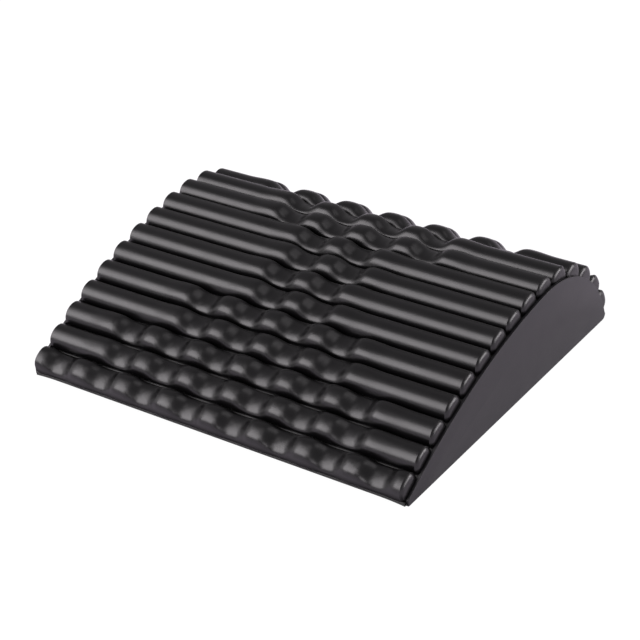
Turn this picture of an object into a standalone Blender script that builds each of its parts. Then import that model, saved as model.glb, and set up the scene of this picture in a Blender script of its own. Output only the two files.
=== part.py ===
"""Back stretcher: a moulded foam arch whose top is half-round ribs, noduled over an hourglass-shaped field.

Metres, +Z up. X runs across the width, Y from the low front edge to the back, and the origin is on the floor
under the middle of the whole. Pieces: a ribbed skin, two flat side skins, a foam core and a base sheet.
"""

import math

import bmesh
import bpy

# Whole part
WIDTH = 0.385
GAP = 0.0003  # between pieces that are bonded to each other

# Arch of the side face: a long front arc that runs on into a tight back arc
FRONT_Y = -0.002  # the arch starts this far before the base sheet's front edge
FRONT_HEIGHT = 0.0041
FRONT_SLOPE = math.radians(32.5)
CREST_SLOPE = math.radians(5.2)
BACK_SLOPE = math.radians(-76.8)
BACK_RADIUS = 0.0989

# Ribs, laid side by side along the arch
RIB_COUNT = 15
RIB_PITCH = 0.0249
RIB_HEIGHT = 0.0117
RIB_FULLNESS = 2.2  # 2 makes a rib's section an ellipse, and more gives it fuller shoulders
GROOVE_WIDTH = 0.0006
RIB_ROOT = 0.002  # how far a rib reaches into the arch that it stands on
RIB_END_ROUND = 0.0048
RIB_END_STEP = 0.0003  # the rib ends stand this far inside the skin's ends
RIB_FACETS = 8

# Nodules: between them a rib dips, much in its height and little in its width
NODULE_PITCH = 0.0468
DIP_IN_HEIGHT = 0.0065
DIP_IN_WIDTH = 0.0012  # on each side of the rib
DIP_STEEPNESS = 0.3  # 0 is a plain wave, and 0.5 has its steepest flanks
NODULE_LENGTH = 0.9  # 1 makes a nodule as long as the dips beside it, and less makes it shorter
NODULE_STEPS = 6
NODULE_STAGGER = 0.0066  # every second rib has its nodules this far to the right
FIELD_WAIST = 6.5  # the noduled field is narrowest here, in ribs counted from the front
FIELD_WAIST_RIBS = 1.5  # ribs on each side of the waist that keep its width
FIELD_STEP_RIBS = 2  # then the field widens after this many ribs

# Walls
SKIN_THICKNESS = 0.0025
SIDE_THICKNESS = 0.003
SIDE_EDGE_ROUND = 0.0005
SIDE_CORNER_ROUND = 0.003
BASE_THICKNESS = 0.0035
BASE_EDGE_ROUND = 0.0004
CORNER_FLARE = 0.0013  # the foot's front edge runs out this far towards its two corners
CORNER_FLARE_LENGTH = 0.024
CORNER_ROUND = 0.0045  # the foot's two front corners, seen from above
CORE_MARGIN = 0.012  # along the arch, from each end to where the core starts

SIDE_STEPS = 5  # points along the side face's arch for each rib
ROUND_STEPS = 3
FLOOR_DEPTH = 0.05  # how far below the floor the cutters reach

# Sizes that follow from those above
RIB_HALF_WIDTH = (RIB_PITCH - GROOVE_WIDTH) / 2
ARCH_LENGTH = RIB_COUNT * RIB_PITCH
BACK_ARC_LENGTH = BACK_RADIUS * (CREST_SLOPE - BACK_SLOPE)
FRONT_ARC_LENGTH = ARCH_LENGTH - BACK_ARC_LENGTH
FRONT_RADIUS = FRONT_ARC_LENGTH / (FRONT_SLOPE - CREST_SLOPE)
SKIN_HALF = WIDTH / 2 - SIDE_THICKNESS - GAP
BASE_TOP = BASE_THICKNESS + GAP


def arch_point(along, outside=0.0):
    """(y, z) at a distance along the arch, moved square to it by outside."""
    front = min(along, FRONT_ARC_LENGTH)
    slope = FRONT_SLOPE - front / FRONT_RADIUS
    y = FRONT_Y + FRONT_RADIUS * (math.sin(FRONT_SLOPE) - math.sin(slope))
    z = FRONT_HEIGHT + FRONT_RADIUS * (math.cos(slope) - math.cos(FRONT_SLOPE))
    if along > FRONT_ARC_LENGTH:
        slope = CREST_SLOPE - (along - FRONT_ARC_LENGTH) / BACK_RADIUS
        y += BACK_RADIUS * (math.sin(CREST_SLOPE) - math.sin(slope))
        z += BACK_RADIUS * (math.cos(slope) - math.cos(CREST_SLOPE))
    return y - outside * math.sin(slope), z + outside * math.cos(slope)


def rib_seat(rib):
    """(y, z, slope) of the middle of the chord that a rib sits on, between its two grooves."""
    y0, z0 = arch_point(rib * RIB_PITCH)
    y1, z1 = arch_point((rib + 1) * RIB_PITCH)
    return (y0 + y1) / 2, (z0 + z1) / 2, math.atan2(z1 - z0, y1 - y0)


def nodule_shift(rib):
    return NODULE_STAGGER if rib % 2 else 0.0


def field_half_width(rib):
    """Half the noduled length of a rib: a whole number of nodules that the rib has room for."""
    steps = math.ceil((abs(rib - FIELD_WAIST) - FIELD_WAIST_RIBS) / FIELD_STEP_RIBS)
    room = math.ceil((SKIN_HALF - RIB_END_ROUND) / NODULE_PITCH)
    return min(1 + max(steps, 0), room) * NODULE_PITCH


def dip(x, rib):
    """How far a rib dips at x: 0 on its plain stretches and on each nodule, and 1 halfway between two."""
    from_middle = abs(x - nodule_shift(rib))
    if from_middle >= field_half_width(rib):
        return 0.0
    from_nodule = 2 * abs(from_middle / NODULE_PITCH - round(from_middle / NODULE_PITCH))
    wave = math.cos(math.pi * from_nodule ** NODULE_LENGTH)
    return (1 - wave * (1 + DIP_STEEPNESS * (1 - wave * wave))) / 2


def rib_stations(rib):
    """(x, half width, height) along a rib from its left end to its right, with the two ends rounded over."""
    end = SKIN_HALF - RIB_END_STEP
    straight = end - RIB_END_ROUND
    half = field_half_width(rib)
    count = round(2 * half / NODULE_PITCH * NODULE_STEPS)
    field = [nodule_shift(rib) - half + 2 * half * step / count for step in range(count + 1)]
    clear = NODULE_PITCH / NODULE_STEPS / 3
    stations = [(x, 0.0) for x in (-straight, *(x for x in field if abs(x) < straight - clear), straight)]
    for step in range(1, ROUND_STEPS + 1):
        turn = math.pi / 2 * step / ROUND_STEPS
        x = straight + RIB_END_ROUND * math.sin(turn)
        rounded_off = RIB_END_ROUND * (1 - math.cos(turn))
        stations = [(-x, rounded_off), *stations, (x, rounded_off)]
    sized = []
    for x, rounded_off in stations:
        depth = dip(max(-straight, min(x, straight)), rib)
        across = RIB_HALF_WIDTH - DIP_IN_WIDTH * depth - rounded_off
        high = RIB_HEIGHT - DIP_IN_HEIGHT * depth - rounded_off
        sized.append((x, across, high))
    return sized


def clear_scene():
    for thing in list(bpy.data.objects):
        bpy.data.objects.remove(thing, do_unlink=True)


def new_collection(name, shown):
    made = bpy.data.collections.new(name)
    bpy.context.scene.collection.children.link(made)
    made.hide_render = not shown
    return made


def new_material(name, colour, roughness):
    made = bpy.data.materials.new(name)
    made.use_nodes = True
    shader = made.node_tree.nodes["Principled BSDF"]
    shader.inputs["Base Color"].default_value = (*colour, 1.0)
    shader.inputs["Roughness"].default_value = roughness
    shader.inputs["Metallic"].default_value = 0.0
    return made


def as_helper(thing):
    thing.hide_render = True
    thing.display_type = "WIRE"
    return thing


def plate(name, outline, start, end, collection, upright=True):
    """A solid between two planes: square to X with an outline of (y, z), or level with one of (x, y)."""
    curve = bpy.data.curves.new(name, "CURVE")
    curve.dimensions = "2D"
    curve.fill_mode = "BOTH"
    curve.extrude = (end - start) / 2
    spline = curve.splines.new("POLY")
    spline.points.add(len(outline) - 1)
    for point, (across, up) in zip(spline.points, outline):
        point.co = (across, up, 0, 1)
    spline.use_cyclic_u = True
    drawn = bpy.data.objects.new(name + "_outline", curve)
    if upright:
        drawn.rotation_euler = (math.pi / 2, 0, math.pi / 2)
        drawn.location.x = (start + end) / 2
    else:
        drawn.location.z = (start + end) / 2
    collection.objects.link(drawn)
    bpy.context.view_layer.update()
    graph = bpy.context.evaluated_depsgraph_get()
    mesh = bpy.data.meshes.new_from_object(drawn.evaluated_get(graph))
    shape = bmesh.new()
    shape.from_mesh(mesh)
    bmesh.ops.remove_doubles(shape, verts=shape.verts, dist=0.00001)
    bmesh.ops.dissolve_limit(shape, angle_limit=0.001, verts=shape.verts, edges=shape.edges)
    shape.to_mesh(mesh)
    shape.free()
    made = bpy.data.objects.new(name, mesh)
    made.matrix_world = drawn.matrix_world
    collection.objects.link(made)
    bpy.data.objects.remove(drawn, do_unlink=True)
    return made


def lofted_rib(name, stations, seat, collection):
    """A rib through half-round sections square to X, each on a root that reaches into the arch under its seat."""
    mesh = bpy.data.meshes.new(name)
    points = []
    for x, across, high in stations:
        for facet in range(RIB_FACETS + 1):
            turn = math.pi * facet / RIB_FACETS
            sideways = math.copysign(abs(math.cos(turn)) ** (2 / RIB_FULLNESS), math.cos(turn))
            points.append((x, -across * sideways, high * max(math.sin(turn), 0.0) ** (2 / RIB_FULLNESS)))
        points += [(x, across, -RIB_ROOT), (x, -across, -RIB_ROOT)]
    ring = RIB_FACETS + 3
    faces = []
    for station in range(len(stations) - 1):
        for corner in range(ring):
            start = station * ring
            following = (corner + 1) % ring
            faces.append((start + corner, start + following, start + ring + following, start + ring + corner))
    faces.append(list(reversed(range(ring))))
    faces.append(list(range(len(points) - ring, len(points))))
    mesh.from_pydata(points, [], faces)
    rib = bpy.data.objects.new(name, mesh)
    y, z, slope = seat
    rib.location = (0, y, z)
    rib.rotation_euler.x = slope
    collection.objects.link(rib)
    return as_helper(rib)


def join_or_cut(thing, operation, **what):
    step = thing.modifiers.new(operation.title(), "BOOLEAN")
    step.operation = operation
    step.solver = "EXACT"
    if "collection" in what:
        step.operand_type = "COLLECTION"
        step.collection = what["collection"]
    else:
        step.object = what["object"]


def round_edges(thing, width, segments):
    step = thing.modifiers.new("Edges", "BEVEL")
    step.width = width
    step.segments = segments
    step.limit_method = "ANGLE"
    step.angle_limit = math.radians(30)


def finish(thing, name, material, parent, collection):
    """Replaces a built-up object by its finished mesh, shaded smooth across its round parts."""
    bpy.context.view_layer.update()
    graph = bpy.context.evaluated_depsgraph_get()
    mesh = bpy.data.meshes.new_from_object(thing.evaluated_get(graph))
    mesh.name = name
    mesh.materials.clear()
    mesh.materials.append(material)
    mesh.shade_smooth()
    mesh.set_sharp_from_angle(angle=math.radians(40))
    made = bpy.data.objects.new(name, mesh)
    made.matrix_world = thing.matrix_world
    made.parent = parent
    collection.objects.link(made)
    as_helper(thing)
    return made


def make_core(name, clearance, helpers):
    """The foam block under the skin, grown all round by a clearance."""
    half = SKIN_HALF - SKIN_THICKNESS - GAP + clearance
    depth = SKIN_THICKNESS + GAP - clearance
    stops = [CORE_MARGIN - clearance, *(rib * RIB_PITCH for rib in range(1, RIB_COUNT))]
    stops.append(ARCH_LENGTH - CORE_MARGIN + clearance)
    outline = [arch_point(along, -depth) for along in stops]
    floor = -FLOOR_DEPTH if clearance else BASE_TOP
    outline += [(outline[-1][0], floor), (outline[0][0], floor)]
    return as_helper(plate(name, outline, -half, half, helpers))


def make_skin(helpers):
    """The ribbed top: an arch joined to its ribs, hollowed for the core and cut level over the base sheet."""
    outline = [arch_point(rib * RIB_PITCH) for rib in range(RIB_COUNT + 1)]
    outline += [(outline[-1][0], -FLOOR_DEPTH), (outline[0][0], -FLOOR_DEPTH)]
    skin = plate("skin_block", outline, -SKIN_HALF, SKIN_HALF, helpers)
    ribs = new_collection("skin_ribs", shown=False)
    for rib in range(RIB_COUNT):
        lofted_rib(f"skin_rib_{rib + 1}", rib_stations(rib), rib_seat(rib), ribs)
    join_or_cut(skin, "UNION", collection=ribs)
    join_or_cut(skin, "DIFFERENCE", object=make_core("skin_hollow", GAP, helpers))
    reach = RIB_PITCH
    below = [(-reach, -2 * FLOOR_DEPTH), (ARCH_LENGTH + reach, -2 * FLOOR_DEPTH)]
    below += [(ARCH_LENGTH + reach, BASE_TOP), (-reach, BASE_TOP)]
    cutter = plate("floor_cutter", below, -WIDTH, WIDTH, helpers)
    join_or_cut(skin, "DIFFERENCE", object=as_helper(cutter))
    return skin


def foot_outline():
    """The foot of the whole from above, with a front edge that curves out to two rounded corners."""
    half = WIDTH / 2
    steps = 2 * ROUND_STEPS
    right_front = []
    for step in range(steps):
        along = step / steps
        x = half - CORNER_ROUND - CORNER_FLARE_LENGTH * (1 - along)
        right_front.append((x, -CORNER_FLARE * along * along))
    for step in range(steps + 1):
        turn = math.pi / 2 * step / steps
        x = half - CORNER_ROUND * (1 - math.sin(turn))
        right_front.append((x, -CORNER_FLARE + CORNER_ROUND * (1 - math.cos(turn))))
    left_front = [(-x, y) for x, y in reversed(right_front)]
    back = arch_point(ARCH_LENGTH)[0]
    return [*left_front, *right_front, (half, back), (-half, back)]


def side_outline():
    """The side face: the arch's curve, and a flat foot with its back corner rounded."""
    steps = RIB_COUNT * SIDE_STEPS
    outline = [arch_point(ARCH_LENGTH * step / steps) for step in range(steps + 1)]
    outline = [(y, z) for y, z in outline if z > SIDE_CORNER_ROUND]
    back = arch_point(ARCH_LENGTH)[0]
    for step in range(ROUND_STEPS + 1):
        turn = math.pi / 2 * step / ROUND_STEPS
        y = back - SIDE_CORNER_ROUND * (1 - math.cos(turn))
        outline.append((y, SIDE_CORNER_ROUND * (1 - math.sin(turn))))
    return [*outline, (outline[0][0], 0.0)]


def make_side(name, inner, helpers):
    """A flat side skin whose inner face is at x = inner, and whose outer face is the part's side."""
    outer = math.copysign(WIDTH / 2, inner)
    side = plate(name, side_outline(), min(inner, outer), max(inner, outer), helpers)
    above = plate(name + "_foot", foot_outline(), -FLOOR_DEPTH, ARCH_LENGTH, helpers, upright=False)
    join_or_cut(side, "INTERSECT", object=as_helper(above))
    round_edges(side, SIDE_EDGE_ROUND, 2)
    return side


def make_base(helpers):
    """The sheet on the underside, as wide as the ribbed skin."""
    base = plate("base_block", foot_outline(), 0.0, BASE_THICKNESS, helpers, upright=False)
    reach = RIB_PITCH
    between = [(-reach, -FLOOR_DEPTH), (ARCH_LENGTH + reach, -FLOOR_DEPTH)]
    between += [(ARCH_LENGTH + reach, FLOOR_DEPTH), (-reach, FLOOR_DEPTH)]
    middle = plate("base_middle", between, -SKIN_HALF, SKIN_HALF, helpers)
    join_or_cut(base, "INTERSECT", object=as_helper(middle))
    round_edges(base, BASE_EDGE_ROUND, 2)
    return base


def main():
    clear_scene()
    parts = new_collection("back_stretcher", shown=True)
    helpers = new_collection("helpers", shown=False)
    skin_black = new_material("moulded_skin_black", (0.014, 0.014, 0.015), 0.42)
    side_black = new_material("side_skin_black", (0.020, 0.020, 0.021), 0.5)
    core_grey = new_material("foam_core_grey", (0.05, 0.05, 0.052), 0.95)
    base_black = new_material("base_sheet_black", (0.012, 0.012, 0.013), 0.6)

    origin = bpy.data.objects.new("back_stretcher", None)
    parts.objects.link(origin)
    skin = finish(make_skin(helpers), "ribbed_skin", skin_black, origin, parts)
    side = SKIN_HALF + GAP
    finish(make_side("right_side_block", side, helpers), "right_side_skin", side_black, origin, parts)
    finish(make_side("left_side_block", -side, helpers), "left_side_skin", side_black, origin, parts)
    finish(make_core("core_block", 0.0, helpers), "foam_core", core_grey, origin, parts)
    finish(make_base(helpers), "base_sheet", base_black, origin, parts)

    across = [skin.matrix_world @ vertex.co for vertex in skin.data.vertices]
    front = min(point.y for point in across)
    back = max(point.y for point in across)
    origin.location.y = -(front + back) / 2
    bpy.context.view_layer.update()


main()
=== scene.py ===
import math

import bmesh
import bpy
from mathutils import Matrix, Vector


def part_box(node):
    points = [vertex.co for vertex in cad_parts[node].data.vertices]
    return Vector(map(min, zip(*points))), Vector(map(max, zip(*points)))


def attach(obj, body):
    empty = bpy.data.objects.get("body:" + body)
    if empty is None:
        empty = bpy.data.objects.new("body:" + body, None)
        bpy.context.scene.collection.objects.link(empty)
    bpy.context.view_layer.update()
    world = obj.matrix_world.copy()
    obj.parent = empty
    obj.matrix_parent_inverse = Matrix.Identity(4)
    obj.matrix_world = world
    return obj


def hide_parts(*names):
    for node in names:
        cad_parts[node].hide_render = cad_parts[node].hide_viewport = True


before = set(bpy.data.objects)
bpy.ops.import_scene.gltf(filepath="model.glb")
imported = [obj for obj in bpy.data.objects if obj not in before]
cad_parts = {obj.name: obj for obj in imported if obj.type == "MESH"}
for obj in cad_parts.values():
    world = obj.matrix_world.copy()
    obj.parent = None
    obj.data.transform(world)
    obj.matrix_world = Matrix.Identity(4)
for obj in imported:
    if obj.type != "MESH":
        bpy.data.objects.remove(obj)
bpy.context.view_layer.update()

# Camera
# A long lens at the part's front right, looking down at it, and turned a little about its own line of
# sight.
CAMERA_PLACE = (0.8659, -1.1496, 0.8926)
CAMERA_HEADING = math.radians(37.046)
CAMERA_TILT = math.radians(58.914)
CAMERA_ROLL = math.radians(-4.156)
CAMERA_LENS = 108.805
CAMERA_SENSOR = 36.0

camera = bpy.data.objects.new("camera", bpy.data.cameras.new("camera"))
camera.data.lens = CAMERA_LENS
camera.data.sensor_width = CAMERA_SENSOR
heading = Matrix.Rotation(CAMERA_HEADING, 4, "Z")
tilt = Matrix.Rotation(CAMERA_TILT, 4, "X")
roll = Matrix.Rotation(CAMERA_ROLL, 4, "Z")
camera.matrix_world = Matrix.Translation(CAMERA_PLACE) @ heading @ tilt @ roll
bpy.context.scene.collection.objects.link(camera)
bpy.context.scene.camera = camera

# Ribbed top
# One moulding of black foam that skins itself in the mould. Fifteen half-round ribs lie side by side
# over an arch, and in an hourglass field round the middle they swell and dip into nodules. It is
# hollow underneath, where the softer core fills it.
RIB_COUNT = 15
RIB_PITCH = 0.0249
RIB_HEIGHT = 0.0117
RIB_HALF_WIDTH = 0.0119
RIB_FULLNESS = 2.15  # the section's power: 2 is an ellipse, and more is boxier
GROOVE_DEPTH = 0.002
RIB_END_ROUND = 0.0068
RIB_END_CREASE = math.radians(37)
NODULE_PITCH = 0.0468
NODULE_STAGGER = 0.0066
NODULE_LENGTH = 1.05  # above 1, a nodule is longer than a dip
NODULE_SWELL = 0.0009
NODULE_FULLNESS = 0.35  # more than the plain rib's
DIP_IN_HEIGHT = 0.0065
DIP_IN_WIDTH = 0.0005
DIP_STEEPNESS = 0.4  # 0 is a plain cosine wave
FIELD_WAIST = 6.5  # in ribs from the first
FIELD_WAIST_RIBS = 1.5  # to each side of the waist
FIELD_STEP_RIBS = 2.0  # for each further nodule to each side
FIELD_MOST_NODULES = 4.0  # to each side of the middle

FRONT_HEIGHT = 0.0041
FRONT_SLOPE = math.radians(32.5)
CREST_SLOPE = math.radians(5.2)
BACK_SLOPE = math.radians(-76.8)
BACK_RADIUS = 0.0989
ARCH_LENGTH = RIB_COUNT * RIB_PITCH
FRONT_ARC_LENGTH = ARCH_LENGTH - BACK_RADIUS * (CREST_SLOPE - BACK_SLOPE)
FRONT_RADIUS = FRONT_ARC_LENGTH / (FRONT_SLOPE - CREST_SLOPE)
ARCH_DEPTH = FRONT_RADIUS * (math.sin(FRONT_SLOPE) - math.sin(CREST_SLOPE))
ARCH_DEPTH += BACK_RADIUS * (math.sin(CREST_SLOPE) - math.sin(BACK_SLOPE))
ARCH_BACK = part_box("right_side_skin")[1].y
FRONT_Y = ARCH_BACK - ARCH_DEPTH

PART_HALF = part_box("right_side_skin")[1].x
LEDGE = 0.0026
SKIN_HALF = PART_HALF - LEDGE
SKIN_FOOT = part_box("ribbed_skin")[0].z
SKIN_THICKNESS = 0.0025
HOLLOW_MARGIN = 0.0117  # along the arch, from each end to where the hollow starts

SKIN_MOTTLES = 45.0  # a metre, like the specks and the patches that they lie in
SKIN_SPECKS = 420.0
SPECK_PATCHES = 130.0
SPECK_REACH = 0.12  # of the room that each speck has
SPECK_PATCH_EDGE = 0.62  # specks show where the patches' noise is above this
SPECK_PALENESS = 0.9
SPECK_RELIEF = 0.5
MOTTLE_IN_SHADE = 0.3
MOTTLE_IN_ROUGHNESS = 0.14
GRAIN_IN_ROUGHNESS = 0.08

FACETS_ROUND_A_RIB = 22
STEPS_ROUND_AN_END = 8
STEPS_ACROSS = 260
ARCH_STEPS_A_RIB = 8
ARCH_STEPS = RIB_COUNT * ARCH_STEPS_A_RIB
SMOOTH_UP_TO = math.radians(32)
SAME_PLACE = 0.00001


class Reading:
    """An output socket that can stand in a sum: each operator adds the Math node for it."""

    def __init__(self, wiring, socket):
        self.wiring = wiring
        self.socket = socket

    def math(self, operation, *terms):
        return self.wiring.node("ShaderNodeMath", {"operation": operation}, dict(enumerate(terms)))

    def __add__(self, other):
        return self.math("ADD", self, other)

    def __sub__(self, other):
        return self.math("SUBTRACT", self, other)

    def __rsub__(self, other):
        return self.math("SUBTRACT", other, self)

    def __mul__(self, other):
        return self.math("MULTIPLY", self, other)

    def __truediv__(self, other):
        return self.math("DIVIDE", self, other)

    def __rtruediv__(self, other):
        return self.math("DIVIDE", other, self)

    def __pow__(self, other):
        return self.math("POWER", self, other)

    def __abs__(self):
        return self.math("ABSOLUTE", self)

    def __lt__(self, other):
        return self.math("LESS_THAN", self, other)

    def __gt__(self, other):
        return self.math("GREATER_THAN", self, other)

    def at_least(self, other):
        return self.math("MAXIMUM", self, other)

    def at_most(self, other):
        return self.math("MINIMUM", self, other)

    __radd__ = __add__
    __rmul__ = __mul__


class Wiring:
    """A node tree that is being wired, for a shape or for a finish."""

    def __init__(self, tree):
        self.tree = tree

    def node(self, kind, settings, sockets, output=0):
        """Adds a node, sets it, feeds its sockets with values or links, and returns one of its outputs."""
        made = self.tree.nodes.new(kind)
        for name, value in settings.items():
            setattr(made, name, value)
        for name, value in sockets.items():
            if isinstance(value, Reading):
                self.tree.links.new(value.socket, made.inputs[name])
            else:
                made.inputs[name].default_value = value
        return Reading(self, made.outputs[output]) if made.outputs else made


def bare_material(name):
    """A material with no nodes yet, and the wiring that adds them."""
    made = bpy.data.materials.new(name)
    made.use_nodes = True
    made.node_tree.nodes.clear()
    return made, Wiring(made.node_tree)


def skin_finish(name, colour, roughness, grain, grain_depth):
    """Self-skinned foam: a satin skin with a fine mould grain, faint mottling and a few pale specks."""
    made, skin = bare_material(name)
    place = skin.node("ShaderNodeTexCoord", {}, {}, "Object")
    fine = skin.node("ShaderNodeTexNoise", {}, {"Vector": place, "Scale": grain, "Detail": 3.0})
    broad = skin.node("ShaderNodeTexNoise", {}, {"Vector": place, "Scale": SKIN_MOTTLES, "Detail": 4.0})
    speck = skin.node("ShaderNodeTexVoronoi", {}, {"Vector": place, "Scale": SKIN_SPECKS})
    patch = skin.node("ShaderNodeTexNoise", {}, {"Vector": place, "Scale": SPECK_PATCHES, "Detail": 2.0})
    pale = (speck < SPECK_REACH) * (patch > SPECK_PATCH_EDGE)
    lightness = 1.0 + (broad - 0.5) * MOTTLE_IN_SHADE + pale * SPECK_PALENESS
    black = skin.node("ShaderNodeVectorMath", {"operation": "SCALE"}, {0: colour, "Scale": lightness})
    rough = roughness + (broad - 0.5) * MOTTLE_IN_ROUGHNESS + (fine - 0.5) * GRAIN_IN_ROUGHNESS
    relief = fine + pale * SPECK_RELIEF
    bump = skin.node("ShaderNodeBump", {}, {"Height": relief, "Distance": grain_depth})
    surface = skin.node(
        "ShaderNodeBsdfPrincipled", {}, {"Base Color": black, "Roughness": rough, "Normal": bump}
    )
    skin.node("ShaderNodeOutputMaterial", {}, {"Surface": surface})
    return made


def arch_point(along, inside=0.0):
    """(y, z) at a distance along the arch, moved square to it by inside."""
    slope = FRONT_SLOPE - min(along, FRONT_ARC_LENGTH) / FRONT_RADIUS
    y = FRONT_Y + FRONT_RADIUS * (math.sin(FRONT_SLOPE) - math.sin(slope))
    z = FRONT_HEIGHT + FRONT_RADIUS * (math.cos(slope) - math.cos(FRONT_SLOPE))
    if along > FRONT_ARC_LENGTH:
        slope = CREST_SLOPE - (along - FRONT_ARC_LENGTH) / BACK_RADIUS
        y += BACK_RADIUS * (math.sin(CREST_SLOPE) - math.sin(slope))
        z += BACK_RADIUS * (math.cos(slope) - math.cos(CREST_SLOPE))
    return y + inside * math.sin(slope), z - inside * math.cos(slope)


moulded_black = skin_finish(
    "moulded_black", colour=(0.0016, 0.0015, 0.0017), roughness=0.31, grain=700.0, grain_depth=0.00001
)

rib_shape = bpy.data.node_groups.new("rib_shape", "GeometryNodeTree")
rib_shape.interface.new_socket("Geometry", in_out="OUTPUT", socket_type="NodeSocketGeometry")
rib_shape.interface.new_socket("Arch", in_out="INPUT", socket_type="NodeSocketGeometry")
rib_sizes = {
    "Rib Height": RIB_HEIGHT,
    "Rib Half Width": RIB_HALF_WIDTH,
    "Rib Fullness": RIB_FULLNESS,
    "Groove Depth": GROOVE_DEPTH,
    "End Round": RIB_END_ROUND,
    "End Crease": RIB_END_CREASE,
    "Half Length": SKIN_HALF,
    "Foot": SKIN_FOOT,
    "Nodule Pitch": NODULE_PITCH,
    "Nodule Stagger": NODULE_STAGGER,
    "Nodule Length": NODULE_LENGTH,
    "Nodule Swell": NODULE_SWELL,
    "Nodule Fullness": NODULE_FULLNESS,
    "Dip in Height": DIP_IN_HEIGHT,
    "Dip in Width": DIP_IN_WIDTH,
    "Dip Steepness": DIP_STEEPNESS,
    "Field Waist": FIELD_WAIST,
    "Field Waist Ribs": FIELD_WAIST_RIBS,
    "Field Step Ribs": FIELD_STEP_RIBS,
    "Field Most Nodules": FIELD_MOST_NODULES,
}
rib_inputs = {}
for size_name in rib_sizes:
    rib_inputs[size_name] = rib_shape.interface.new_socket(
        size_name, in_out="INPUT", socket_type="NodeSocketFloat"
    )
ribs = Wiring(rib_shape)
arch = ribs.node("NodeGroupInput", {}, {}, "Arch")
size = {size_name: ribs.node("NodeGroupInput", {}, {}, size_name) for size_name in rib_sizes}

# The sheet starts as a flat square grid. Its rows run along the ribs, from groove to groove round each
# one, and there is one more row at the front and at the back for the foot.
rows_in_a_rib = FACETS_ROUND_A_RIB + 1
last_row = RIB_COUNT * rows_in_a_rib + 1
last_column = STEPS_ACROSS + 2 * STEPS_ROUND_AN_END
grid_size = {"Size X": 1.0, "Size Y": 1.0, "Vertices X": last_column + 1, "Vertices Y": last_row + 1}
grid = ribs.node("GeometryNodeMeshGrid", {}, grid_size)
flat = ribs.node("GeometryNodeInputPosition", {}, {})
across = ribs.node("ShaderNodeSeparateXYZ", {}, {0: flat}, "X") + 0.5
along = ribs.node("ShaderNodeSeparateXYZ", {}, {0: flat}, "Y") + 0.5
column = across.math("ROUND", across * last_column)
row = along.math("ROUND", along * last_row)

# Across: an even run of columns, then at each end a crease and a round that turns down to the flat end.
side = column.math("SIGN", column - last_column / 2)
from_end = column.at_most(last_column - column)
past_crease = (1.0 - from_end / STEPS_ROUND_AN_END).at_least(0.0)
turned = size["End Crease"] + past_crease * (math.pi / 2 - size["End Crease"])
crease_sine = turned.math("SINE", size["End Crease"])
crease_cosine = turned.math("COSINE", size["End Crease"])
straight = size["Half Length"] - (1.0 - crease_sine) * size["End Round"]
even = ((column - STEPS_ROUND_AN_END) / STEPS_ACROSS * 2.0 - 1.0).at_least(-1.0).at_most(1.0)
x = even * straight + side * (turned.math("SINE", turned) - crease_sine) * size["End Round"]
rounded_off = (crease_cosine - turned.math("COSINE", turned)) * size["End Round"]

# Along: which rib a row is on, and how far round it.
on_rib = (row - 1.0).at_least(0.0).at_most(last_row - 2.0)
rib = on_rib.math("FLOOR", on_rib / rows_in_a_rib)
facet = on_rib - rib * rows_in_a_rib
turn = facet * (math.pi / FACETS_ROUND_A_RIB)

# Dips between the nodules, over a whole number of nodules that grows away from the waist. The swell is
# full on a nodule and none in a dip, and dies away over half a nodule past the field.
shift = rib.math("MODULO", rib, 2.0) * size["Nodule Stagger"]
from_middle = abs(x.at_least(straight * -1.0).at_most(straight) - shift)
past_waist = abs(rib - size["Field Waist"]) - size["Field Waist Ribs"]
steps_out = past_waist.math("CEIL", past_waist / size["Field Step Ribs"]).at_least(0.0)
field_half = (steps_out + 1.0).at_most(size["Field Most Nodules"]) * size["Nodule Pitch"]
nodules_out = from_middle / size["Nodule Pitch"]
from_nodule = abs(nodules_out - nodules_out.math("ROUND", nodules_out)) * 2.0
wave = from_nodule.math("COSINE", from_nodule ** size["Nodule Length"] * math.pi)
depth = (1.0 - wave * (1.0 + size["Dip Steepness"] * (1.0 - wave * wave))) / 2.0
dip = depth * (from_middle < field_half)
past_field = ((from_middle - field_half) / size["Nodule Pitch"] * 2.0).at_least(0.0).at_most(1.0)
swell = (1.0 - dip) * (1.0 + past_field.math("COSINE", past_field * math.pi)) / 2.0

# A rib's section, fuller than an ellipse, on the chord between its two grooves. Each groove is a slot.
half_width = size["Rib Half Width"] - size["Dip in Width"] * dip - rounded_off
height = size["Rib Height"] + size["Nodule Swell"] * swell - size["Dip in Height"] * dip - rounded_off
power = 2.0 / (size["Rib Fullness"] + size["Nodule Fullness"] * swell)
cosine = turn.math("COSINE", turn)
sine = turn.math("SINE", turn).at_least(0.0)
along_chord = half_width * cosine.math("SIGN", cosine) * abs(cosine) ** power * -1.0
in_groove = (facet < 0.5) + (facet > FACETS_ROUND_A_RIB - 0.5)
off_chord = height * sine ** power - size["Groove Depth"] * in_groove
grooves = []
for groove in (rib, rib + 1.0):
    sampled = {"Curves": arch, "Factor": groove / RIB_COUNT}
    grooves.append(ribs.node("GeometryNodeSampleCurve", {"mode": "FACTOR"}, sampled, "Position"))
seat = ribs.node("ShaderNodeVectorMath", {"operation": "ADD"}, {0: grooves[0], 1: grooves[1]})
chord = ribs.node("ShaderNodeVectorMath", {"operation": "SUBTRACT"}, {0: grooves[1], 1: grooves[0]})
direction = ribs.node("ShaderNodeVectorMath", {"operation": "NORMALIZE"}, {0: chord})
chord_y = ribs.node("ShaderNodeSeparateXYZ", {}, {0: direction}, "Y")
chord_z = ribs.node("ShaderNodeSeparateXYZ", {}, {0: direction}, "Z")
seat_y = ribs.node("ShaderNodeSeparateXYZ", {}, {0: seat}, "Y") / 2.0
seat_z = ribs.node("ShaderNodeSeparateXYZ", {}, {0: seat}, "Z") / 2.0
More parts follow.
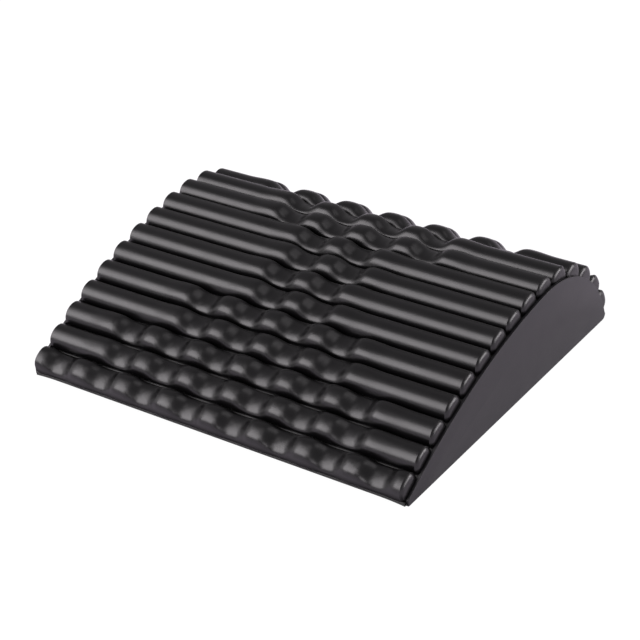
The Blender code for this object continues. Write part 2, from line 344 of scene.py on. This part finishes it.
y = seat_y + along_chord * chord_y - off_chord * chord_z
z = seat_z + along_chord * chord_z + off_chord * chord_y
on_foot = (row < 0.5) + (row > last_row - 0.5)
z = z + (size["Foot"] - z) * on_foot
place = ribs.node("ShaderNodeCombineXYZ", {}, {"X": x, "Y": y, "Z": z})
sheet = ribs.node("GeometryNodeSetPosition", {}, {"Geometry": grid, "Position": place})
sheet = ribs.node("GeometryNodeRealizeInstances", {}, {"Geometry": sheet})
sheet = ribs.node("GeometryNodeSetMaterial", {}, {"Geometry": sheet, "Material": moulded_black})
ribs.node("NodeGroupOutput", {}, {"Geometry": sheet})

arch_curve = bpy.data.curves.new("arch", "CURVE")
arch_curve.dimensions = "3D"
arch_line = arch_curve.splines.new("POLY")
arch_line.points.add(ARCH_STEPS)
for step, point in enumerate(arch_line.points):
    point.co = (0.0, *arch_point(ARCH_LENGTH * step / ARCH_STEPS), 1.0)
arch_object = bpy.data.objects.new("arch", arch_curve)
bpy.context.scene.collection.objects.link(arch_object)
shaping = arch_object.modifiers.new("Ribs", "NODES")
shaping.node_group = rib_shape
for size_name, value in rib_sizes.items():
    shaping[rib_inputs[size_name].identifier] = value
bpy.context.view_layer.update()
graph = bpy.context.evaluated_depsgraph_get()
ribbed_mesh = bpy.data.meshes.new_from_object(arch_object.evaluated_get(graph))
bpy.data.objects.remove(arch_object, do_unlink=True)


def arch_outline(margin, inside, foot):
    """(y, z) round an arch on a flat foot: from the front over the top, then the foot's back and front."""
    outline = []
    for step in range(ARCH_STEPS + 1):
        outline.append(arch_point(margin + (ARCH_LENGTH - 2 * margin) * step / ARCH_STEPS, inside))
    return [*outline, (outline[-1][0], foot), (outline[0][0], foot)]


def close_ends_and_foot(mesh, end):
    """Closes a ribbed sheet with flat ends and a flat foot, round the hollow that the core fills."""
    made = bmesh.new()
    made.from_mesh(mesh)
    for x in (-end, end):
        edges = []
        corners = set()
        for edge in made.edges:
            if edge.is_boundary and all(abs(vertex.co.x - x) < SAME_PLACE for vertex in edge.verts):
                edges.append(edge)
                corners.update(vertex for vertex in edge.verts if vertex.co.z < SKIN_FOOT + SAME_PLACE)
        edges.append(made.edges.new(tuple(corners)))
        bmesh.ops.edgeloop_fill(made, edges=edges)
    half = end - SKIN_THICKNESS
    outline = arch_outline(HOLLOW_MARGIN, SKIN_THICKNESS, SKIN_FOOT)
    low = [made.verts.new((-half, y, z)) for y, z in outline]
    high = [made.verts.new((half, y, z)) for y, z in outline]
    for corner in range(len(outline) - 2):
        made.faces.new((low[corner], low[corner + 1], high[corner + 1], high[corner]))
    made.faces.new((low[-1], low[0], high[0], high[-1]))
    made.faces.new(low)
    made.faces.new(high)
    rim = [edge for edge in made.edges if edge.is_boundary]
    bmesh.ops.triangle_fill(made, edges=rim, use_beauty=True, use_dissolve=False)
    bmesh.ops.recalc_face_normals(made, faces=made.faces)
    for face in made.faces:
        face.material_index = 0
    made.to_mesh(mesh)
    made.free()


def smooth(mesh, material):
    """Gives a mesh its one material, and smooth shading up to the angle at which an edge shows."""
    mesh.materials.clear()
    mesh.materials.append(material)
    mesh.shade_smooth()
    mesh.set_sharp_from_angle(angle=SMOOTH_UP_TO)


close_ends_and_foot(ribbed_mesh, SKIN_HALF)
smooth(ribbed_mesh, moulded_black)
ribbed_top = bpy.data.objects.new("ribbed_top", ribbed_mesh)
bpy.context.scene.collection.objects.link(ribbed_top)
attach(ribbed_top, "root")
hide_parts("ribbed_skin")

# Foam core
# The softer block of open-cell foam that fills the ribbed top and gives under the back. It is cut to the
# arch and bonded in, and the side cheeks and the base sheet close it in.
CORE_GAP = 0.0003
CORE_EDGE_ROUND = 0.0015
CORE_EDGE_STEPS = 3
FOAM_GREY = (0.05, 0.05, 0.052)
FOAM_CELL = 0.00125
FOAM_PATCHES = 60.0
FOAM_CELL_DEPTH = 0.0003
PATCH_IN_SHADE = 0.3
CELL_EDGE_PAINTED_SHADE = 0.4
PATCH_IN_ROUGHNESS = 0.1
ROUND_EDGES_FROM = math.radians(30)


def foam_finish(name):
    """Grey foam: open cells of about a millimetre between thin walls, with painted shade towards each
    cell's edge.
    """
    made, foam = bare_material(name)
    place = foam.node("ShaderNodeTexCoord", {}, {}, "Object")
    cells = foam.node("ShaderNodeTexVoronoi", {}, {"Vector": place, "Scale": 1.0 / FOAM_CELL})
    patches = foam.node("ShaderNodeTexNoise", {}, {"Vector": place, "Scale": FOAM_PATCHES, "Detail": 3.0})
    # Painted shade: each cell is darker towards its edge, where the relief is lowest. The patches vary at
    # random.
    lightness = 0.5 + patches * PATCH_IN_SHADE + (1.0 - cells) * CELL_EDGE_PAINTED_SHADE
    grey = foam.node("ShaderNodeVectorMath", {"operation": "SCALE"}, {0: FOAM_GREY, "Scale": lightness})
    bump = foam.node("ShaderNodeBump", {}, {"Height": 1.0 - cells, "Distance": FOAM_CELL_DEPTH})
    rough = 0.88 + patches * PATCH_IN_ROUGHNESS
    surface = foam.node(
        "ShaderNodeBsdfPrincipled", {}, {"Base Color": grey, "Roughness": rough, "Normal": bump}
    )
    foam.node("ShaderNodeOutputMaterial", {}, {"Surface": surface})
    return made


def make_piece(name, made):
    """Turns the faces of a closed mesh outwards and puts it in the scene as a piece."""
    bmesh.ops.recalc_face_normals(made, faces=made.faces)
    mesh = bpy.data.meshes.new(name)
    made.to_mesh(mesh)
    made.free()
    thing = bpy.data.objects.new(name, mesh)
    bpy.context.scene.collection.objects.link(thing)
    return thing


def arch_prism(name, outline, low_x, high_x):
    """A closed piece between two planes square to X, with an outline of (y, z)."""
    made = bmesh.new()
    low = [made.verts.new((low_x, y, z)) for y, z in outline]
    high = [made.verts.new((high_x, y, z)) for y, z in outline]
    for corner in range(len(outline)):
        after = (corner + 1) % len(outline)
        made.faces.new((low[corner], high[corner], high[after], low[after]))
    made.faces.new(low)
    made.faces.new(list(reversed(high)))
    return make_piece(name, made)


def settle(thing, material):
    """Applies a piece's modifiers, then smooths and finishes its mesh."""
    bpy.context.view_layer.update()
    graph = bpy.context.evaluated_depsgraph_get()
    mesh = bpy.data.meshes.new_from_object(thing.evaluated_get(graph))
    thing.modifiers.clear()
    thing.data = mesh
    smooth(mesh, material)


def round_edges(thing, width, steps):
    """Rounds a piece's edges, but not the slight ones between the facets of its arch."""
    edges = thing.modifiers.new("Edges", "BEVEL")
    edges.width = width
    edges.segments = steps
    edges.limit_method = "ANGLE"
    edges.angle_limit = ROUND_EDGES_FROM


core_low, core_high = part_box("foam_core")
core_outline = arch_outline(HOLLOW_MARGIN + CORE_GAP, SKIN_THICKNESS + CORE_GAP, core_low.z)
inner_foam = arch_prism("inner_foam", core_outline, core_low.x, core_high.x)
round_edges(inner_foam, CORE_EDGE_ROUND, CORE_EDGE_STEPS)
settle(inner_foam, foam_finish("core_foam"))
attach(inner_foam, "root")
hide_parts("foam_core")

# Side cheeks
# The two flat arch-shaped sides, of the same moulded foam. Each is bonded on a little outside the rib
# ends, so that its top edge is a ledge beside them. Its face has a finer, duller skin than the ribs.
CHEEK_EDGE_ROUND = 0.0002
CHEEK_EDGE_STEPS = 4
CHEEK_BACK_ROUND = 0.005
CHEEK_GAP = 0.0002
CORNER_ROUND = 0.0032
CORNER_FLARE = 0.0013
CORNER_FLARE_LENGTH = 0.024
FOOT_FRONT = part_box("base_sheet")[0].y + CORNER_FLARE
ROUND_STEPS = 6
BELOW_PART = -0.01
ABOVE_PART = 0.1

cheek_black = skin_finish(
    "cheek_black", colour=(0.0045, 0.0043, 0.0052), roughness=0.34, grain=900.0, grain_depth=0.00001
)


def foot_outline(inset):
    """(x, y) round the part's foot: its front edge runs out a little to two rounded corners."""
    right_front = []
    for step in range(ROUND_STEPS):
        along_flare = step / ROUND_STEPS
        x = PART_HALF - CORNER_ROUND - CORNER_FLARE_LENGTH * (1 - along_flare)
        right_front.append((x, FOOT_FRONT + inset - CORNER_FLARE * along_flare * along_flare))
    for step in range(ROUND_STEPS + 1):
        turn = math.pi / 2 * step / ROUND_STEPS
        x = PART_HALF - CORNER_ROUND + (CORNER_ROUND - inset) * math.sin(turn)
        y = FOOT_FRONT - CORNER_FLARE + CORNER_ROUND - (CORNER_ROUND - inset) * math.cos(turn)
        right_front.append((x, y))
    left_front = [(-x, y) for x, y in reversed(right_front)]
    back = ARCH_BACK - inset
    return [*left_front, *right_front, (PART_HALF - inset, back), (inset - PART_HALF, back)]


def foot_block(name, levels, half_width):
    """A closed piece through foot outlines at each (z, inset), cut off square at each side."""
    made = bmesh.new()
    rings = []
    for z, inset in levels:
        rings.append([made.verts.new((x, y, z)) for x, y in foot_outline(inset)])
    for lower, upper in zip(rings, rings[1:]):
        for corner in range(len(lower)):
            after = (corner + 1) % len(lower)
            made.faces.new((lower[corner], lower[after], upper[after], upper[corner]))
    made.faces.new(list(reversed(rings[0])))
    made.faces.new(rings[-1])
    for side in (-1, 1):
        everything = [*made.verts, *made.edges, *made.faces]
        plane = {"plane_co": (side * half_width, 0, 0), "plane_no": (side, 0, 0)}
        cut = bmesh.ops.bisect_plane(made, geom=everything, **plane, clear_outer=True)
        edges = [item for item in cut["geom_cut"] if isinstance(item, bmesh.types.BMEdge)]
        if edges:
            bmesh.ops.holes_fill(made, edges=edges, sides=0)
    return make_piece(name, made)


# Both ends of the arch come down lower than the cheek's back round, so those points are left out. The
# back has the round instead, and the front goes straight down, within the foot's own corner.
whole_foot = foot_block("whole_foot", ((BELOW_PART, 0.0), (ABOVE_PART, 0.0)), 2 * PART_HALF)
for name, node, outer in (
    ("left_cheek", "left_side_skin", -PART_HALF),
    ("right_cheek", "right_side_skin", PART_HALF),
):
    inner = math.copysign(SKIN_HALF + CHEEK_GAP, outer)
    outline = [(y, z) for y, z in arch_outline(0.0, 0.0, 0.0) if z > CHEEK_BACK_ROUND]
    for step in range(ROUND_STEPS + 1):
        turn = math.pi / 2 * step / ROUND_STEPS
        y = ARCH_BACK - CHEEK_BACK_ROUND * (1 - math.cos(turn))
        outline.append((y, CHEEK_BACK_ROUND * (1 - math.sin(turn))))
    outline.append((outline[0][0], 0.0))
    cheek = arch_prism(name, outline, min(inner, outer), max(inner, outer))
    corner = cheek.modifiers.new("Corner", "BOOLEAN")
    corner.operation = "INTERSECT"
    corner.solver = "EXACT"
    corner.object = whole_foot
    round_edges(cheek, CHEEK_EDGE_ROUND, CHEEK_EDGE_STEPS)
    settle(cheek, cheek_black)
    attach(cheek, "root")
    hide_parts(node)
bpy.data.objects.remove(whole_foot, do_unlink=True)

# Base sheet
# A thin sheet of firm foam that is bonded to the underside, in three layers that show as fine lines
# along its edge. Its front edge is the strip under the first rib, and its face is what grips the floor.
BASE_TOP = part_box("base_sheet")[1].z
BASE_LAYERS = 3
LAYER_BULGE = 0.0006
BULGE_STEPS = 8

sheet_black = skin_finish(
    "sheet_black", colour=(0.003, 0.003, 0.003), roughness=0.4, grain=1100.0, grain_depth=0.00003
)

edge_profile = []
for layer in range(BASE_LAYERS):
    for step in range(BULGE_STEPS):
        up = step / BULGE_STEPS
        bulge = LAYER_BULGE * math.sqrt(1 - (2 * up - 1) * (2 * up - 1))
        edge_profile.append((BASE_TOP * (layer + up) / BASE_LAYERS, LAYER_BULGE - bulge))
base_pad = foot_block("base_pad", (*edge_profile, (BASE_TOP, LAYER_BULGE)), SKIN_HALF)
settle(base_pad, sheet_black)
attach(base_pad, "root")
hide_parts("base_sheet")

# Floor
# A wide pale studio floor. The camera sees it as white, with the part's faint shadow on it. Along the
# part's front edge, where the first rib hangs over it, a contact shadow is painted into its colour and its
# reflected white.
FLOOR_SIZE = 30.0
FLOOR_SHADE = (0.8, 0.73, 0.84)
FLOOR_WHITE = 1.1
WHITE_TO_THE_EYE = 0.9
WHITE_IN_GLOSS = 0.2
# Painted contact shadow: how much of the floor's colour it leaves where it is darkest, and how far it
# reaches.
PAINTED_CONTACT_SHADOW = 0.1  # of the floor's own shade, where it is darkest
PAINTED_SHADOW_REACH = 0.014

pale_floor, paint = bare_material("pale_floor")
path = "ShaderNodeLightPath"
to_the_eye = paint.node(path, {}, {}, "Is Camera Ray") * WHITE_TO_THE_EYE
in_gloss = paint.node(path, {}, {}, "Is Glossy Ray") + paint.node(path, {}, {}, "Is Transmission Ray")

# The painted contact shadow is darkest at the front edge and ends within its reach in front and at both
# sides.
place = paint.node("ShaderNodeTexCoord", {}, {}, "Object")
in_front = FOOT_FRONT - paint.node("ShaderNodeSeparateXYZ", {}, {0: place}, "Y")
beside = abs(paint.node("ShaderNodeSeparateXYZ", {}, {0: place}, "X")) - PART_HALF
away = in_front.at_least(beside) / PAINTED_SHADOW_REACH
out_of_painted_shadow = (away.at_least(PAINTED_CONTACT_SHADOW) + (in_front < 0.0)).at_most(1.0)
# The painted contact shadow darkens the floor's colour and the white that it shows in reflections.
share_of_white = (to_the_eye + in_gloss * WHITE_IN_GLOSS * out_of_painted_shadow).at_most(WHITE_TO_THE_EYE)
floor_with_painted_shadow = {axis: out_of_painted_shadow * shade for axis, shade in zip("XYZ", FLOOR_SHADE)}
pale = paint.node("ShaderNodeCombineXYZ", {}, floor_with_painted_shadow)
dull = {"Base Color": pale, "Roughness": 1.0, "Specular IOR Level": 0.0}
matte = paint.node("ShaderNodeBsdfPrincipled", {}, dull)
white = paint.node("ShaderNodeEmission", {}, {"Color": (1.0, 1.0, 1.0, 1.0), "Strength": FLOOR_WHITE})
shown = paint.node("ShaderNodeMixShader", {}, {0: share_of_white, 1: matte, 2: white})
paint.node("ShaderNodeOutputMaterial", {}, {"Surface": shown})
floor_mesh = bpy.data.meshes.new("floor")
reach = FLOOR_SIZE / 2
corners = [(-reach, -reach, 0.0), (reach, -reach, 0.0), (reach, reach, 0.0), (-reach, reach, 0.0)]
floor_mesh.from_pydata(corners, [], [(0, 1, 2, 3)])
floor_mesh.materials.append(pale_floor)
floor = bpy.data.objects.new("floor", floor_mesh)
bpy.context.scene.collection.objects.link(floor)

# Lights
# A key softbox in front at the left and weaker ones round it, two low strips at the right for the side
# face, and a dim room. A bearing runs from straight behind the part towards its right, in degrees.
LAMP_DISTANCE = 2.5
AIM = Vector((0.0, 0.0, 0.04))
LAMP_TINT = (1.0, 0.955, 0.985)
ROOM_TINT = (1.0, 0.95, 1.0, 1.0)
ROOM_LIGHT = 0.3


def softbox(name, bearing, elevation, width, height, brightness):
    """A rectangular lamp that faces the part, as bright as asked whatever its size."""
    data = bpy.data.lights.new(name, "AREA")
    data.shape = "RECTANGLE"
    data.size = width
    data.size_y = height
    data.energy = math.pi * width * height * brightness
    data.color = LAMP_TINT
    lamp = bpy.data.objects.new(name, data)
    bearing = math.radians(bearing)
    elevation = math.radians(elevation)
    level = math.cos(elevation)
    away = Vector((math.sin(bearing) * level, math.cos(bearing) * level, math.sin(elevation)))
    lamp.location = AIM + away * LAMP_DISTANCE
    lamp.rotation_euler = away.to_track_quat("Z", "Y").to_euler()
    bpy.context.scene.collection.objects.link(lamp)


softbox("key", -146, 27, 1.9, 1.15, 5.3)
softbox("key_top", -146, 48.5, 1.9, 0.8, 4.0)
softbox("key_spill", -112, 34, 1.2, 1.5, 1.4)
softbox("front_right", 174, 40, 0.9, 1.5, 1.8)
softbox("overhead_front", -165, 70, 1.2, 0.8, 0.9)
softbox("overhead_right", 62, 62, 0.95, 0.95, 1.2)
softbox("back_right", 28, 50, 0.9, 0.7, 0.8)
softbox("low_front", -150, 10, 2.3, 0.45, 0.7)
softbox("low_left", -100, 8, 1.6, 0.5, 0.9)
softbox("right_strip", 62, 8, 2.4, 0.63, 8.0)
softbox("low_front_right", 145, 8, 1.2, 0.63, 4.5)

world = bpy.data.worlds.new("studio")
bpy.context.scene.world = world
world.use_nodes = True
world.node_tree.nodes.clear()
room = Wiring(world.node_tree)
seen = room.node(path, {}, {}, "Is Camera Ray")
dim = room.node("ShaderNodeBackground", {}, {"Color": ROOM_TINT, "Strength": ROOM_LIGHT})
bright = room.node("ShaderNodeBackground", {}, {"Color": (1.0, 1.0, 1.0, 1.0), "Strength": 1.0})
either = room.node("ShaderNodeMixShader", {}, {0: seen, 1: dim, 2: bright})
room.node("ShaderNodeOutputWorld", {}, {"Surface": either})
bpy.context.scene.view_settings.view_transform = "Standard"
